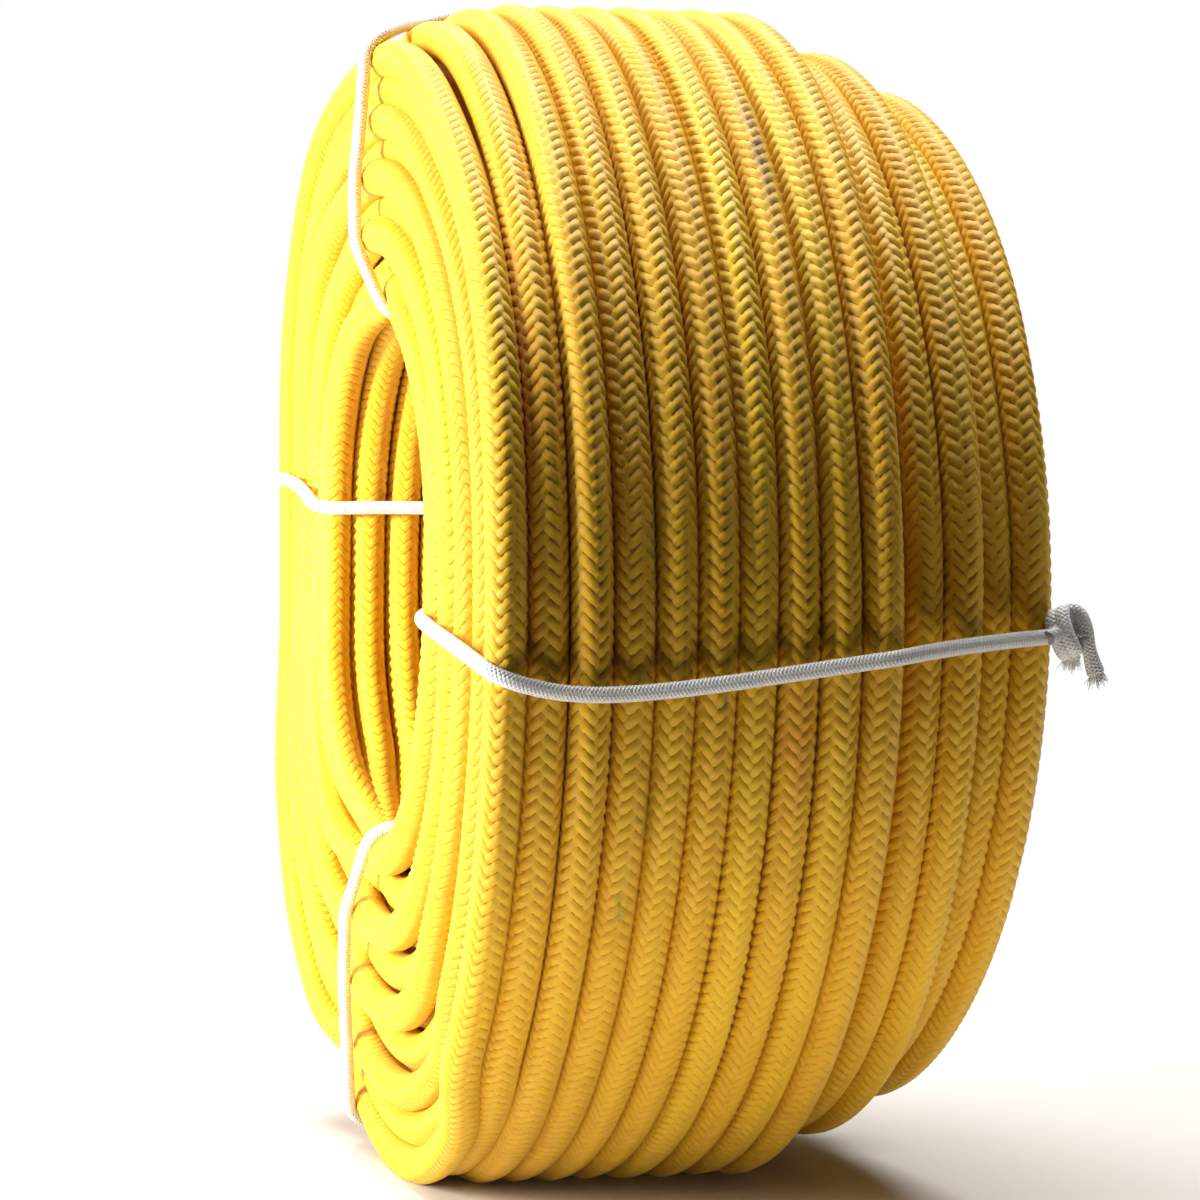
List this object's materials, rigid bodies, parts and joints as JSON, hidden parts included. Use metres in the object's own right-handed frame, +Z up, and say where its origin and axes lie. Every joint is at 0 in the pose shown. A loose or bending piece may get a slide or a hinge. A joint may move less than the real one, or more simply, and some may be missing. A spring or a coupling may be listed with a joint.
{
  "type": "coiled dock line",
  "caption": "Round multi-layer coil of braided line standing on its rim, held by white tie cords knotted round its section.",
  "frame": {"origin": "on the floor under the middle of the coil, which stands on its rim", "axes": "+X along the coil's axis, from the flush face towards the face with the knots; +Z up; +Y away from the front"},
  "size_m": [0.1966, 0.3842, 0.3826],
  "materials": {
    "yellow_braid": "matt braided multifilament",
    "rope_core": "matt loose filaments",
    "melted_end": "melted and set, slightly glossy",
    "white_tie_cord": "soft braided cord"
  },
  "bodies": {
    "coil": {"rope_layer_1": "yellow_braid", "rope_layer_2": "yellow_braid", "rope_layer_3": "yellow_braid", "rope_layer_4": "yellow_braid", "rope_layer_5": "yellow_braid", "rope_layer_6": "yellow_braid", "rope_layer_7": "yellow_braid", "rope_layer_8": "yellow_braid", "rope_layer_9": "yellow_braid", "rope_inner_end_cover": "yellow_braid", "rope_inner_end_core": "rope_core", "rope_inner_end_seal": "melted_end", "rope_outer_end_cover": "yellow_braid", "rope_outer_end_core": "rope_core", "rope_outer_end_seal": "melted_end"},
    "front_tie": {"tie_front_loop": "white_tie_cord", "tie_front_knot": "white_tie_cord", "tie_front_long_tail": "white_tie_cord", "tie_front_short_tail": "white_tie_cord"},
    "top_tie": {"tie_top_loop": "white_tie_cord", "tie_top_knot": "white_tie_cord", "tie_top_long_tail": "white_tie_cord", "tie_top_short_tail": "white_tie_cord"},
    "back_tie": {"tie_back_loop": "white_tie_cord", "tie_back_knot": "white_tie_cord", "tie_back_long_tail": "white_tie_cord", "tie_back_short_tail": "white_tie_cord"},
    "bottom_tie": {"tie_bottom_loop": "white_tie_cord", "tie_bottom_knot": "white_tie_cord", "tie_bottom_long_tail": "white_tie_cord", "tie_bottom_short_tail": "white_tie_cord"}
  },
  "joints": [
    {"name": "front_tie_shift", "type": "hinge", "parent": "coil", "child": "front_tie", "pos_m": [0, 0, 0.1883], "axis": [-1, 0, 0], "range_deg": [-4, 4]},
    {"name": "top_tie_shift", "type": "hinge", "parent": "coil", "child": "top_tie", "pos_m": [0, 0, 0.1883], "axis": [-1, 0, 0], "range_deg": [-4, 4]},
    {"name": "back_tie_shift", "type": "hinge", "parent": "coil", "child": "back_tie", "pos_m": [0, 0, 0.1883], "axis": [-1, 0, 0], "range_deg": [-4, 4]},
    {"name": "bottom_tie_shift", "type": "hinge", "parent": "coil", "child": "bottom_tie", "pos_m": [0, 0, 0.1883], "axis": [-1, 0, 0], "range_deg": [-4, 4]}
  ]
}
